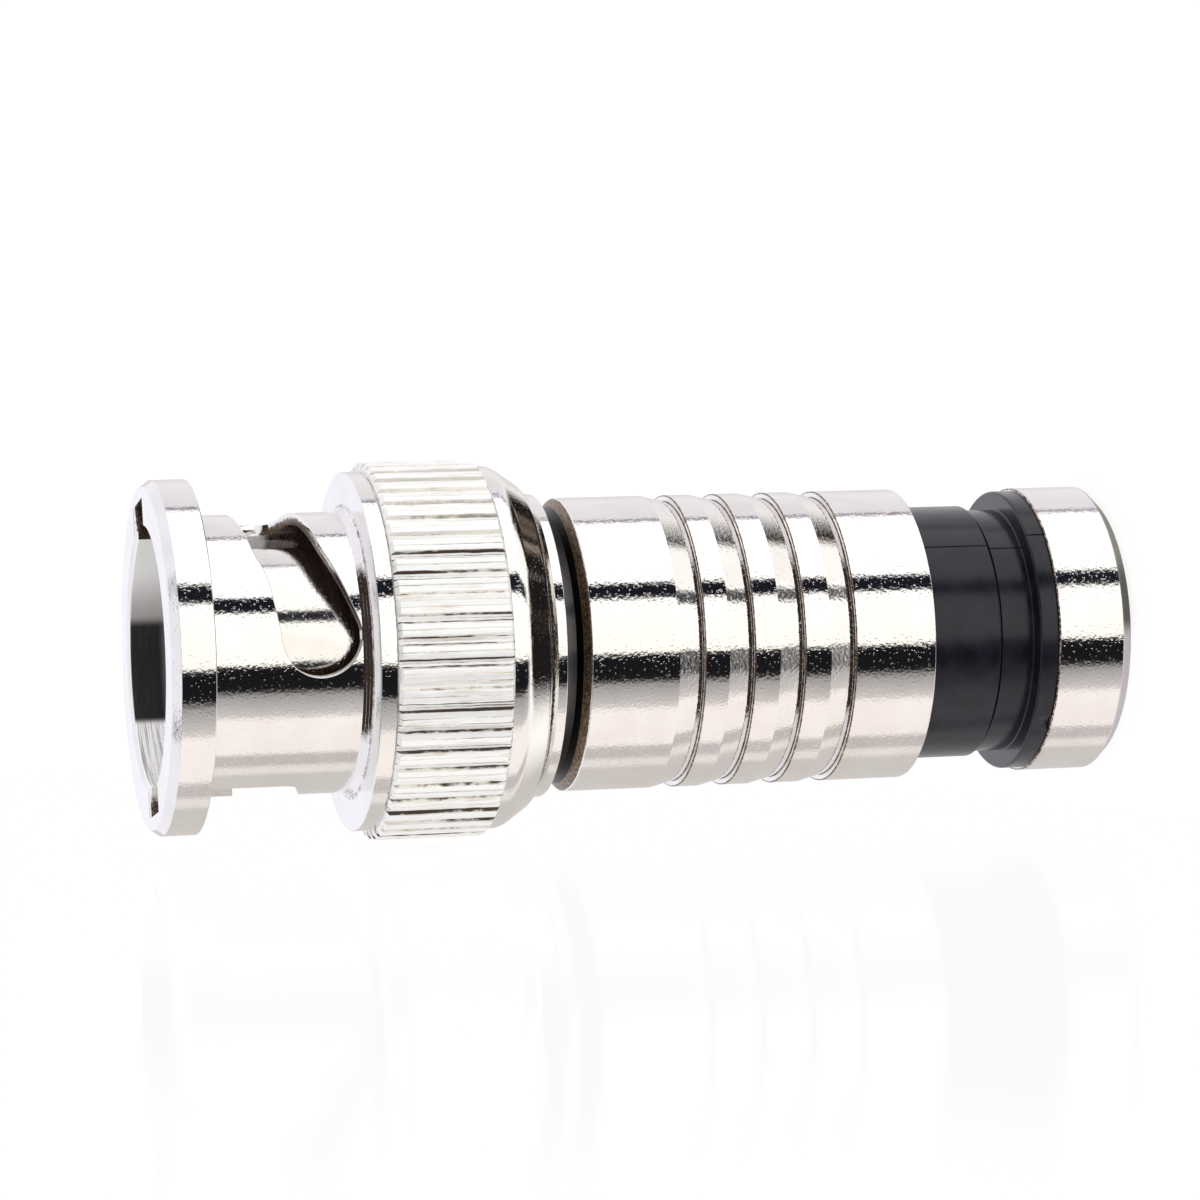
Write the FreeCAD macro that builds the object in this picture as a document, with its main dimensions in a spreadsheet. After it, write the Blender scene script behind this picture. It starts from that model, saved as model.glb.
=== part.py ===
import FreeCAD, Part
import math
import os
import Sketcher

# Male bayonet plug for coaxial cable, fastened to the cable by compression.
# It stands on the rear face of its end cap; +Z runs along the axis to the mating end.
# All lengths are millimetres and all angles degrees.
SIZES = {
    # end cap, a turned ring closed by a rear wall with the cable hole
    "cap_length": 3.08,
    "cap_radius": 5.6,
    "cap_wall": 0.7,
    "cap_socket_radius": 5.1,
    "cable_hole_radius": 4.15,
    "cap_chamfer": 0.42,
    # compression ferrule, moulded
    "ferrule_flange_radius": 5.5,
    "ferrule_flange_thickness": 0.74,
    "ferrule_waist_radius": 4.78,
    "ferrule_waist_length": 1.35,
    "ferrule_length": 11.4,
    "ferrule_bore_radius": 3.75,
    "ferrule_mouth_depth": 3.9,
    "ferrule_nose_taper": 1.2,
    "ferrule_nose_wall": 0.45,
    "ferrule_clearance": 0.06,
    "ferrule_travel_gap": 4.28,
    # barrel with its four barbs
    "barrel_length": 14.05,
    "barrel_radius": 5.68,
    "barrel_bore_radius": 5.02,
    "barrel_front_chamfer_radial": 0.55,
    "barrel_front_chamfer_axial": 0.45,
    "barb_count": 4,
    "barb_pitch": 2.0,
    "barb_depth": 0.3,
    "barb_taper_length": 0.99,
    "first_barb_inset": 3.87,
    # post, the thin tube that goes under the cable's braid
    "post_bore_radius": 1.95,
    "post_wall": 0.3,
    "post_flange_thickness": 0.8,
    "post_setback": 4.7,
    "post_barb_count": 2,
    "post_barb_height": 0.3,
    "post_barb_length": 0.8,
    "post_barb_pitch": 2.0,
    # coupling nut
    "nut_gap": 0.5,
    "nut_length": 15.05,
    "nut_bore_radius": 4.9,
    "nut_floor": 3.45,
    "nut_tail_clearance": 0.1,
    "nut_mouth_chamfer": 0.3,
    "rim_radius": 6.75,
    "rim_thickness": 1.64,
    "neck_radius": 5.37,
    "neck_end": 7.68,
    "neck_root": 0.3,
    "collar_length": 0.67,
    "knurl_length": 4.35,
    "knurl_end_chamfer": 0.3,
    "knurl_count": 54,
    "knurl_groove_depth": 0.3,
    "knurl_groove_floor": 0.24,
    "knurl_groove_mouth": 0.5,
    "band_radius": 7.0,
    "collar_step": 0.13,
    "knurl_rise": 0.25,
    "dome_end": 14.67,
    "dome_facets": 3,
    "lip_radius": 5.85,
    # bayonet slots and lug keyways of the nut
    "slot_count": 2,
    "slot_turn": 92.0,
    "slot_facing": -82.5,
    "slot_width": 2.5,
    "slot_rise": 1.3,
    "detent_depth": 5.85,
    "detent_radius": 1.5,
    "detent_offset": 0.25,
    "detent_lead_turn": 38.0,
    "keyway_width": 2.4,
    "keyway_radius": 5.98,
    # front body, the outer contact sleeve with its flange and tail
    "sleeve_radius": 4.05,
    "sleeve_bore_radius": 3.5,
    "sleeve_length": 7.2,
    "sleeve_edge": 0.25,
    "flange_radius": 4.8,
    "flange_thickness": 1.0,
    "tail_radius": 3.8,
    "tail_press_length": 2.05,
    "insulator_radius": 3.0,
    # gasket, washers and spring
    "gasket_radius": 4.75,
    "gasket_thickness": 0.75,
    "front_washer_thickness": 0.25,
    "thrust_washer_thickness": 0.3,
    "washer_clearance": 0.1,
    "washer_radius": 4.7,
    "spring_height": 0.75,
    "spring_thickness": 0.2,
    "spring_waves": 3,
    "spring_steps_per_wave": 8,
    # centre contact and its insulators
    "pin_radius": 0.675,
    "pin_reach": 5.5,
    "pin_tip_length": 0.5,
    "pin_tip_radius": 0.35,
    "pin_neck_radius": 0.85,
    "pin_body_radius": 1.05,
    "pin_body_length": 5.0,
    "pin_socket_radius": 0.45,
    "pin_socket_depth": 3.5,
    "pin_slit_width": 0.25,
    "pin_slit_length": 2.5,
    "front_insulator_wall": 0.4,
    "front_insulator_length": 4.5,
    "guide_hole_radius": 0.6,
    "guide_funnel_radius": 1.8,
    "guide_funnel_length": 1.6,
}

doc = FreeCAD.newDocument("coaxial_plug")
sheet = doc.addObject("Spreadsheet::Sheet", "Sizes")
for line, (alias, number) in enumerate(SIZES.items(), start=1):
    sheet.set("A%d" % line, alias)
    sheet.set("B%d" % line, str(number))
    sheet.setAlias("B%d" % line, alias)
doc.recompute()


class Size:
    """A length or angle: its number now, and the sheet expression that gives it."""

    def __init__(self, value, text):
        self.value = value
        self.text = text

    def join(self, other, sign, value):
        return Size(value, "(%s %s %s)" % (self.text, sign, other.text))

    def __add__(self, other):
        return self.join(other, "+", self.value + other.value)

    def __sub__(self, other):
        return self.join(other, "-", self.value - other.value)

    def __mul__(self, other):
        return self.join(other, "*", self.value * other.value)

    def __truediv__(self, other):
        return self.join(other, "/", self.value / other.value)

    def __neg__(self):
        return Size(-self.value, "(0 - %s)" % self.text)


def size(alias):
    return Size(float(sheet.get(alias)), "Sizes." + alias)


def plain(number):
    return Size(number, "%g" % number)


ZERO = plain(0)
TWO = plain(2)
FULL_TURN = plain(360)
QUARTER_TURN = math.pi / 2

# Heights along the axis, counted up from the rear face.
cap_front = size("cap_length")
ferrule_rear = size("cap_wall")
ferrule_flange_front = cap_front + size("ferrule_flange_thickness")
barrel_rear = ferrule_flange_front + size("ferrule_travel_gap")
barrel_front = barrel_rear + size("barrel_length")
barrel_shoulder = barrel_front - size("tail_press_length")
nut_rear = barrel_front + size("nut_gap")
nut_front = nut_rear + size("nut_length")
nut_shoulder = nut_rear + size("nut_floor")
spring_rear = nut_shoulder + size("thrust_washer_thickness")
spring_front = spring_rear + size("spring_height")
flange_rear = spring_front + size("front_washer_thickness")
flange_front = flange_rear + size("flange_thickness")
sleeve_front = flange_front + size("sleeve_length")
pin_tip = flange_front + size("pin_reach")
pin_shoulder = flange_front - size("front_insulator_wall")
pin_rear = pin_shoulder - size("pin_body_length")
insulator_joint = flange_front - size("front_insulator_length")

# Radii of the nut's grip, which keep their places against its plain band.
collar_radius = size("band_radius") - size("collar_step")
knurl_radius = size("band_radius") + size("knurl_rise")


def origin_plane(body, role):
    return [item for item in body.Origin.OriginFeatures if item.Role == role][0]


def tie(item, path, length):
    item.setExpression(path, length.text)


def new_body(name):
    body = doc.addObject("PartDesign::Body", name)
    body.Label = name
    return body


def new_sketch(body, name, role, turn=None, lift=None):
    """A sketch on one of the body's own origin planes, turned about the axis or lifted along it."""
    sketch = body.newObject("Sketcher::SketchObject", name)
    sketch.AttachmentSupport = [(origin_plane(body, role), "")]
    sketch.MapMode = "FlatFace"
    upright = FreeCAD.Vector(0, 0, 1) if role == "XY_Plane" else FreeCAD.Vector(0, 1, 0)
    if turn is not None:
        sketch.AttachmentOffset = FreeCAD.Placement(FreeCAD.Vector(), FreeCAD.Rotation(upright, turn.value))
        tie(sketch, "AttachmentOffset.Rotation.Angle", turn)
    if lift is not None:
        tie(sketch, "AttachmentOffset.Base.z", lift)
    return sketch


def tie_point(sketch, line, end, across, along):
    """Hold one end of a line at its distances from the sketch's origin."""
    for kind, length, axis in (("DistanceX", across, -2), ("DistanceY", along, -1)):
        if length is ZERO:
            sketch.addConstraint(Sketcher.Constraint("PointOnObject", line, end, axis))
        else:
            index = sketch.addConstraint(Sketcher.Constraint(kind, -1, 1, line, end, length.value))
            tie(sketch, "Constraints[%d]" % index, length)


def draw_outline(sketch, corners):
    """A closed outline of straight lines through the corners."""
    points = [FreeCAD.Vector(across.value, along.value, 0) for across, along in corners]
    for line, point in enumerate(points):
        sketch.addGeometry(Part.LineSegment(point, points[(line + 1) % len(points)]), False)
    for line, (across, along) in enumerate(corners):
        sketch.addConstraint(Sketcher.Constraint("Coincident", line, 2, (line + 1) % len(points), 1))
        tie_point(sketch, line, 1, across, along)


def draw_circle(sketch, across, along, radius):
    centre = FreeCAD.Vector(across.value, along.value, 0)
    sketch.addGeometry(Part.Circle(centre, FreeCAD.Vector(0, 0, 1), radius.value), False)
    tie_point(sketch, 0, 3, across, along)
    index = sketch.addConstraint(Sketcher.Constraint("Radius", 0, radius.value))
    tie(sketch, "Constraints[%d]" % index, radius)


def turned(name, half_section):
    """A piece turned about the axis from its half section of (radius, height) corners."""
    body = new_body(name)
    sketch = new_sketch(body, name + "_section", "XZ_Plane")
    draw_outline(sketch, half_section)
    turning = body.newObject("PartDesign::Revolution", name + "_turning")
    turning.Profile = sketch
    turning.ReferenceAxis = (sketch, ["V_Axis"])
    turning.Angle = FULL_TURN.value
    doc.recompute()
    return body


def pocket(body, name, sketch, depth, reverse=False, both_ways=False):
    """A straight cut; it must take material away."""
    before = body.Shape.Volume
    cut = body.newObject("PartDesign::Pocket", name)
    cut.Profile = sketch
    cut.Reversed = reverse
    cut.Midplane = both_ways
    tie(cut, "Length", depth)
    doc.recompute()
    check_cut(body, name, before)
    return cut


def check_cut(body, name, before):
    if body.Shape.Volume >= before:
        raise RuntimeError(name + " removes no material")


def around(body, name, features, count):
    """Copies of features spaced evenly about the axis."""
    before = body.Shape.Volume
    pattern = body.newObject("PartDesign::PolarPattern", name)
    pattern.Originals = features
    pattern.Axis = (origin_plane(body, "Z_Axis"), [""])
    pattern.Angle = FULL_TURN.value
    tie(pattern, "Occurrences", count)
    body.Tip = pattern
    doc.recompute()
    check_cut(body, name, before)
    return pattern


# The end cap: a metal ring pressed over the ferrule's rear.
hole = size("cable_hole_radius")
cap_outer = size("cap_radius")
end_cap = turned("end_cap", [
    (hole, ZERO),
    (cap_outer - size("cap_chamfer"), ZERO),
    (cap_outer, size("cap_chamfer")),
    (cap_outer, cap_front),
    (size("cap_socket_radius"), cap_front),
    (size("cap_socket_radius"), ferrule_rear),
    (hole, ferrule_rear),
])

# The compression ferrule: it slides up the barrel's bore when the plug is fastened.
ferrule_outer = size("barrel_bore_radius") - size("ferrule_clearance")
waist_front = ferrule_flange_front + size("ferrule_waist_length")
ferrule_front = ferrule_rear + size("ferrule_length")
taper_rear = ferrule_front - size("ferrule_nose_taper")
mouth_front = ferrule_rear + size("ferrule_mouth_depth")
nose_outer = size("ferrule_bore_radius") + size("ferrule_nose_wall")
compression_ferrule = turned("compression_ferrule", [
    (hole, ferrule_rear),
    (size("cap_socket_radius"), ferrule_rear),
    (size("cap_socket_radius"), cap_front),
    (size("ferrule_flange_radius"), cap_front),
    (size("ferrule_flange_radius"), ferrule_flange_front),
    (size("ferrule_waist_radius"), ferrule_flange_front),
    (size("ferrule_waist_radius"), waist_front),
    (ferrule_outer, waist_front),
    (ferrule_outer, taper_rear),
    (nose_outer, ferrule_front),
    (size("ferrule_bore_radius"), ferrule_front),
    (size("ferrule_bore_radius"), mouth_front),
    (hole, mouth_front),
])


def barrel_section():
    """Half section of the barrel, its outline carrying one ramp and step for each barb."""
    outer = size("barrel_radius")
    corners = [
        (size("barrel_bore_radius"), barrel_rear),
        (outer, barrel_rear),
    ]
    count = int(size("barb_count").value)
    for number in reversed(range(count)):
        step = barrel_front - size("first_barb_inset") - plain(number) * size("barb_pitch")
        corners.append((outer, step - size("barb_taper_length")))
        corners.append((outer - size("barb_depth"), step - size("barb_taper_length")))
        corners.append((outer, step))
    corners += [
        (outer, barrel_front - size("barrel_front_chamfer_axial")),
        (outer - size("barrel_front_chamfer_radial"), barrel_front),
        (size("tail_radius"), barrel_front),
        (size("tail_radius"), barrel_shoulder),
        (size("barrel_bore_radius"), barrel_shoulder),
    ]
    return corners


# The barrel: the sleeve that the cable's jacket is squeezed in.
barrel = turned("barrel", barrel_section())


def post_section():
    """Half section of the post: front flange, thin tube and the barbs at its cable end."""
    inner = size("post_bore_radius")
    outer = inner + size("post_wall")
    rear = size("post_setback")
    flange_under = barrel_shoulder - size("post_flange_thickness")
    corners = [(inner, rear)]
    for number in range(int(size("post_barb_count").value)):
        foot = rear + plain(number) * size("post_barb_pitch")
        crest = foot + size("post_barb_length")
        corners.append((outer, foot))
        corners.append((outer + size("post_barb_height"), crest))
        corners.append((outer, crest))
    corners += [
        (outer, flange_under),
        (size("barrel_bore_radius"), flange_under),
        (size("barrel_bore_radius"), barrel_shoulder),
        (inner, barrel_shoulder),
    ]
    return corners


# The post: seated by its flange on the barrel's shoulder.
post = turned("post", post_section())

# The front body: outer contact sleeve, flange and the tail that is pressed into the barrel.
sleeve_outer = size("sleeve_radius")
front_body = turned("front_body", [
    (size("insulator_radius"), barrel_shoulder),
    (size("tail_radius"), barrel_shoulder),
    (size("tail_radius"), flange_rear),
    (size("flange_radius"), flange_rear),
    (size("flange_radius"), flange_front),
    (sleeve_outer, flange_front),
    (sleeve_outer, sleeve_front - size("sleeve_edge")),
    (sleeve_outer - size("sleeve_edge"), sleeve_front),
    (size("sleeve_bore_radius"), sleeve_front),
    (size("sleeve_bore_radius"), flange_front),
    (size("insulator_radius"), flange_front),
])


def ring(name, inner, outer, bottom, top):
    """A flat ring with a plain square section."""
    return turned(name, [(inner, bottom), (outer, bottom), (outer, top), (inner, top)])


# The rings on the front body: a soft gasket ahead of the flange, two flat washers behind it.
washer_bore = size("tail_radius") + size("washer_clearance")
face_gasket = ring("face_gasket", sleeve_outer, size("gasket_radius"),
                   flange_front, flange_front + size("gasket_thickness"))
front_washer = ring("front_washer", washer_bore, size("washer_radius"), spring_front, flange_rear)
thrust_washer = ring("thrust_washer", washer_bore, size("washer_radius"), nut_shoulder, spring_rear)


def wave_ring(inner, outer, thickness, waves, steps, swing, middle):
    """A flat ring pressed into even waves, closed from small triangles."""
    rings = []
    for radius, lift in ((inner, 0), (outer, 0), (outer, thickness), (inner, thickness)):
        points = []
        for step in range(steps):
            turn = 2 * math.pi * step / steps
            height = middle + lift + swing * math.cos(waves * turn)
            points.append(FreeCAD.Vector(radius * math.cos(turn), radius * math.sin(turn), height))
        rings.append(points)
    faces = []
    for side, here in enumerate(rings):
        there = rings[(side + 1) % len(rings)]
        for step in range(steps):
            after = (step + 1) % steps
            faces.append(Part.Face(Part.makePolygon([here[step], here[after], there[after], here[step]])))
            faces.append(Part.Face(Part.makePolygon([here[step], there[after], there[step], here[step]])))
    shell = Part.makeShell(faces)
    shell.sewShape()
    return Part.makeSolid(shell)


# The wave spring: a thin washer pressed into waves, between the two flat washers.
thickness = size("spring_thickness").value
swing = (size("spring_height").value - thickness) / 2
waves = int(size("spring_waves").value)
wave_spring = doc.addObject("Part::Feature", "wave_spring")
wave_spring.Label = "wave_spring"
wave_spring.Shape = wave_ring(washer_bore.value, size("washer_radius").value, thickness, waves,
                              waves * int(size("spring_steps_per_wave").value), swing,
                              spring_rear.value + swing)

# The centre contact: a pin in front and a slit socket for the cable's wire behind.
pin_outer = size("pin_radius")
pin_neck = size("pin_neck_radius")
socket_end = pin_rear + size("pin_socket_depth")
centre_pin = turned("centre_pin", [
    (size("pin_socket_radius"), pin_rear),
    (size("pin_body_radius"), pin_rear),
    (size("pin_body_radius"), pin_shoulder),
    (pin_neck, pin_shoulder),
    (pin_neck, flange_front),
    (pin_outer, flange_front),
    (pin_outer, pin_tip - size("pin_tip_length")),
    (size("pin_tip_radius"), pin_tip),
    (ZERO, pin_tip),
    (ZERO, socket_end),
    (size("pin_socket_radius"), socket_end),
])
slit = new_sketch(centre_pin, "pin_slit_outline", "XZ_Plane")
half_slit = size("pin_slit_width") / TWO
slit_front = pin_rear + size("pin_slit_length")
draw_outline(slit, [
    (-half_slit, pin_rear),
    (half_slit, pin_rear),
    (half_slit, slit_front),
    (-half_slit, slit_front),
])
pocket(centre_pin, "pin_slit", slit, size("pin_body_radius") * TWO, both_ways=True)

# The insulators: one holds the pin, the other guides the wire into its socket.
front_insulator = turned("front_insulator", [
    (size("pin_body_radius"), insulator_joint),
    (size("insulator_radius"), insulator_joint),
    (size("insulator_radius"), flange_front),
    (pin_neck, flange_front),
    (pin_neck, pin_shoulder),
    (size("pin_body_radius"), pin_shoulder),
])
funnel_front = barrel_shoulder + size("guide_funnel_length")
rear_insulator = turned("rear_insulator", [
    (size("guide_funnel_radius"), barrel_shoulder),
    (size("insulator_radius"), barrel_shoulder),
    (size("insulator_radius"), insulator_joint),
    (size("pin_body_radius"), insulator_joint),
    (size("pin_body_radius"), pin_rear),
    (size("guide_hole_radius"), pin_rear),
    (size("guide_hole_radius"), funnel_front),
])


def dome_corners(lip, band, rear, facets):
    """Corners of the quarter round that runs from the nut's lip out to its band."""
    corners = []
    for step in range(facets + 1):
        bend = QUARTER_TURN * step / facets
        out = plain(round(math.sin(bend), 6))
        up = plain(round(1 - math.cos(bend), 6))
        corners.append((lip + (band - lip) * out, rear + (band - lip) * up))
    return corners


def nut_section():
    """Half section of the nut from its rear hole, round the outside and back down the bore."""
    tail_hole = size("tail_radius") + size("nut_tail_clearance")
    neck_rear = nut_front - size("neck_end")
    knurl_front = neck_rear - size("collar_length")
    knurl_rear = knurl_front - size("knurl_length")
    dome_rear = nut_front - size("dome_end")
    rim_rear = nut_front - size("rim_thickness")
    chamfer = size("knurl_end_chamfer")
    lip = size("lip_radius")
    band = size("band_radius")
    corners = [(tail_hole, nut_rear), (lip, nut_rear)]
    corners += dome_corners(lip, band, dome_rear, int(size("dome_facets").value))
    corners += [
        (band, knurl_rear),
        (knurl_radius, knurl_rear + chamfer),
        (knurl_radius, knurl_front - chamfer),
        (collar_radius, knurl_front),
        (collar_radius, neck_rear),
        (size("neck_radius") + size("neck_root"), neck_rear),
        (size("neck_radius"), neck_rear + size("neck_root")),
        (size("neck_radius"), rim_rear),
        (size("rim_radius"), rim_rear),
        (size("rim_radius"), nut_front),
        (size("nut_bore_radius") + size("nut_mouth_chamfer"), nut_front),
        (size("nut_bore_radius"), nut_front - size("nut_mouth_chamfer")),
        (size("nut_bore_radius"), nut_shoulder),
        (tail_hole, nut_shoulder),
    ]
    return corners


def helical_cut(body, name, centre_height, rise, turn, width):
    """A slot through the neck's wall that climbs evenly towards the front as it goes round."""
    before = body.Shape.Volume
    sketch = new_sketch(body, name + "_section", "XZ_Plane")
    half = width / TWO
    inside = size("sleeve_radius")
    outside = size("rim_radius")
    draw_outline(sketch, [
        (inside, centre_height - half),
        (outside, centre_height - half),
        (outside, centre_height + half),
        (inside, centre_height + half),
    ])
    cut = body.newObject("PartDesign::SubtractiveHelix", name)
    cut.Profile = sketch
    cut.ReferenceAxis = (sketch, ["V_Axis"])
    cut.Mode = "height-turns-angle"
    tie(cut, "Height", rise)
    tie(cut, "Turns", turn / FULL_TURN)
    cut.Angle = 0
    cut.LeftHanded = False
    cut.Reversed = False
    doc.recompute()
    check_cut(body, name, before)
    return cut


# The coupling nut: rim, slotted neck, collar, knurled grip and domed rear, turned in one piece.
coupling_nut = turned("coupling_nut", nut_section())

# Each bayonet slot: a helical ramp, a deeper lead into the round detent, and the lug's way in.
detent_height = nut_front - size("detent_depth")
ramp_height = detent_height + size("detent_offset")
entry_height = ramp_height + size("slot_rise")
cut_reach = size("rim_radius")
ramp = helical_cut(coupling_nut, "slot_ramp", ramp_height, size("slot_rise"), size("slot_turn"),
                   size("slot_width"))
lead_rise = size("detent_offset") + size("slot_rise") * size("detent_lead_turn") / size("slot_turn")
lead = helical_cut(coupling_nut, "slot_lead", detent_height, lead_rise, size("detent_lead_turn"),
                   size("slot_width"))
detent_outline = new_sketch(coupling_nut, "slot_detent_outline", "YZ_Plane")
draw_circle(detent_outline, ZERO, detent_height, size("detent_radius"))
detent = pocket(coupling_nut, "slot_detent", detent_outline, cut_reach, reverse=True)
entry_outline = new_sketch(coupling_nut, "slot_entry_outline", "YZ_Plane", turn=size("slot_turn"))
draw_circle(entry_outline, ZERO, entry_height, size("slot_width") / TWO)
entry = pocket(coupling_nut, "slot_entry", entry_outline, cut_reach, reverse=True)
keyway_outline = new_sketch(coupling_nut, "lug_keyway_outline", "XY_Plane", turn=size("slot_turn"),
                            lift=nut_front)
half_key = size("keyway_width") / TWO
key_inside = size("sleeve_radius")
draw_outline(keyway_outline, [
    (key_inside, -half_key),
    (size("keyway_radius"), -half_key),
    (size("keyway_radius"), half_key),
    (key_inside, half_key),
])
keyway = pocket(coupling_nut, "lug_keyway", keyway_outline, nut_front - entry_height)
around(coupling_nut, "slot_pair", [ramp, lead, detent, entry, keyway], size("slot_count"))

# The knurl: straight grooves between flat-topped ribs.
knurl_front = nut_front - size("neck_end") - size("collar_length")
groove_outline = new_sketch(coupling_nut, "knurl_groove_outline", "XY_Plane", lift=knurl_front)
half_floor = size("knurl_groove_floor") / TWO
half_mouth = size("knurl_groove_mouth") / TWO
groove_floor = knurl_radius - size("knurl_groove_depth")
draw_outline(groove_outline, [
    (groove_floor, -half_floor),
    (knurl_radius + size("knurl_groove_floor"), -half_mouth),
    (knurl_radius + size("knurl_groove_floor"), half_mouth),
    (groove_floor, half_floor),
])
groove = pocket(coupling_nut, "knurl_groove", groove_outline, size("knurl_length"))
around(coupling_nut, "knurl", [groove], size("knurl_count"))
coupling_nut.Placement = FreeCAD.Placement(
    FreeCAD.Vector(), FreeCAD.Rotation(FreeCAD.Vector(0, 0, 1), size("slot_facing").value))
tie(coupling_nut, "Placement.Rotation.Angle", size("slot_facing"))
doc.recompute()

PIECES = [
    coupling_nut, front_body, face_gasket, front_washer, wave_spring, thrust_washer, centre_pin,
    front_insulator, rear_insulator, post, barrel, compression_ferrule, end_cap,
]

for item in doc.Objects:
    if "Invalid" in item.State or "Error" in item.State:
        raise RuntimeError("%s failed: %s" % (item.Label, item.State))
for piece in PIECES:
    if piece.Shape.isNull() or not piece.Shape.isValid():
        raise RuntimeError(piece.Label + " has no valid solid")
    if len(piece.Shape.Solids) != 1:
        raise RuntimeError(piece.Label + " isn't one solid")

os.makedirs("parts", exist_ok=True)
for piece in PIECES:
    piece.Shape.exportStep("parts/%s.step" % piece.Label)
    box = piece.Shape.BoundBox
    print("%-20s %9.3f mm3  z %7.3f to %7.3f" % (piece.Label, piece.Shape.Volume, box.ZMin, box.ZMax))
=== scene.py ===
import math

import bmesh
import bpy
from mathutils import Matrix, Vector
from mathutils.geometry import delaunay_2d_cdt


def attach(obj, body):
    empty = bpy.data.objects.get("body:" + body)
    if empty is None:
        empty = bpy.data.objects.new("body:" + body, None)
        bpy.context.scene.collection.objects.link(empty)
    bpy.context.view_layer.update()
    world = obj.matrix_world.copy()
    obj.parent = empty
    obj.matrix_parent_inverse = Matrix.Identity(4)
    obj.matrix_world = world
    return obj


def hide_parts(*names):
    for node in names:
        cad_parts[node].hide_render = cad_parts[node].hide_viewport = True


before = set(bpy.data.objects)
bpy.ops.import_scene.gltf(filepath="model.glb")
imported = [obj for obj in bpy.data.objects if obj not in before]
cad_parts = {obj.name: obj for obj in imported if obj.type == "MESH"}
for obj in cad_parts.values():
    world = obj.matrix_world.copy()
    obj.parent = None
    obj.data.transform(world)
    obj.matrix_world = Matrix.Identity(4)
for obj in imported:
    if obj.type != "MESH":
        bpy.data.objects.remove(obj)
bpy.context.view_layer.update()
scene = bpy.context.scene
MM = 0.001


# Coupling nut, front: the rim that closes the nut's mouth. It is turned from brass bar and
# nickel plated, with a keyway broached on each side for the lugs of the mating jack.
COLUMNS = 288
MICRON = 1.0e-6
# Wear is 0 on bright plate and 1 on bare brass, with these levels beyond the two.
MATT = -1.0
OLIVE_DIRT = 1.4
# Black is painted shade, for faces that lie in dark gaps between parts.
BLACK_GAP_SHADE = 2.0
# Each corner of a half section is a radius, a height, a rounding and a wear.
RIM_OUTLINE = [
    (6.75, 36.06, 0.06, 0.25),
    (6.75, 37.36, 0.015, 0.35),
    (6.50, 37.70, 0.10, 0.0),
    (5.06, 37.70, 0.05, 0.2),
    (4.90, 37.54, 0.06, 0.0),
    (4.90, 36.06, 0.0, 0.0),
]
WEAR_WIDTH = 0.05
WORN_BRASS = (0.26, 0.19, 0.13, 1.0)
BORE_RADIUS = 4.9
MOUTH_LIMIT = 5.3
KEYWAY_RADIUS = 5.98
KEYWAY_HALF_WIDTH = 1.2
KEYWAY_ANGLE = math.radians(9.5)
KEYWAY_DIRT_DEPTH = 0.5
KEYWAY_DIRT_TOP = 37.6
COLUMN_MARGIN = 0.004
WIDE_ROUNDING = 0.5
WIDE_ARC_STEP = math.radians(9)
ARC_STEP = math.radians(22)
SHARP_ANGLE = math.radians(32)
NO_LIGHT = (0.0, 0.0, 0.0, 1.0)


class Wire:
    """A node's output in one tree; arithmetic on it adds Math nodes to the tree."""

    def __init__(self, tree, socket=None):
        self.tree = tree
        self.socket = socket

    def node(self, kind, settings, values, output=0):
        """A node of this kind: first its settings, then the values or links of its sockets."""
        made = self.tree.nodes.new(kind)
        for name, value in settings.items():
            if name == "stops":
                fill_ramp(made.color_ramp, value)
            else:
                setattr(made, name, value)
        for name, value in values.items():
            if isinstance(value, Wire):
                self.tree.links.new(value.socket, made.inputs[name])
            else:
                made.inputs[name].default_value = value
        return Wire(self.tree, made.outputs[output] if len(made.outputs) else None)

    def math(self, operation, first, second=0.0):
        return self.node("ShaderNodeMath", {"operation": operation}, {0: first, 1: second})

    def __add__(self, other):
        return self.math("ADD", self, other)

    def __sub__(self, other):
        return self.math("SUBTRACT", self, other)

    def __rsub__(self, other):
        return self.math("SUBTRACT", other, self)

    def __mul__(self, other):
        return self.math("MULTIPLY", self, other)

    def __neg__(self):
        return self.math("MULTIPLY", self, -1.0)

    __radd__ = __add__
    __rmul__ = __mul__

    def rise(self, low, high):
        """0 below low, 1 above high, smooth between."""
        return self.node("ShaderNodeMapRange", {"interpolation_type": "SMOOTHSTEP"},
                         {"Value": self, "From Min": low, "From Max": high})

    def mix(self, factor, first, second):
        return self.node("ShaderNodeMix", {"data_type": "RGBA"}, {0: factor, 6: first, 7: second}, 2)

    def parts(self, vector):
        """The three numbers of a vector."""
        split = self.node("ShaderNodeSeparateXYZ", {}, {0: vector})
        outputs = split.socket.node.outputs
        return [Wire(self.tree, outputs[axis]) for axis in range(3)]

    def vector(self, x, y, z):
        return self.node("ShaderNodeCombineXYZ", {}, {0: x, 1: y, 2: z})

    def noise(self, vector, scale, detail=2.0, roughness=0.5):
        return self.node("ShaderNodeTexNoise", {},
                         {"Vector": vector, "Scale": scale, "Detail": detail, "Roughness": roughness})


def fill_ramp(ramp, stops):
    while len(ramp.elements) > 1:
        ramp.elements.remove(ramp.elements[-1])
    ramp.elements[0].position = stops[0][0]
    ramp.elements[0].color = (*stops[0][1], 1.0)
    for position, colour in stops[1:]:
        ramp.elements.new(position).color = (*colour, 1.0)


def new_material(name):
    made = bpy.data.materials.new(name)
    made.use_nodes = True
    made.node_tree.nodes.clear()
    return made, Wire(made.node_tree)


def finish_material(start, values):
    shader = start.node("ShaderNodeBsdfPrincipled", {}, values)
    start.node("ShaderNodeOutputMaterial", {}, {"Surface": shader})


def millimetres(start):
    """The object's own coordinates, in millimetres."""
    place = start.node("ShaderNodeTexCoord", {}, {}, "Object")
    return start.node("ShaderNodeVectorMath", {"operation": "SCALE"}, {0: place, "Scale": 1000.0})


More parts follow.
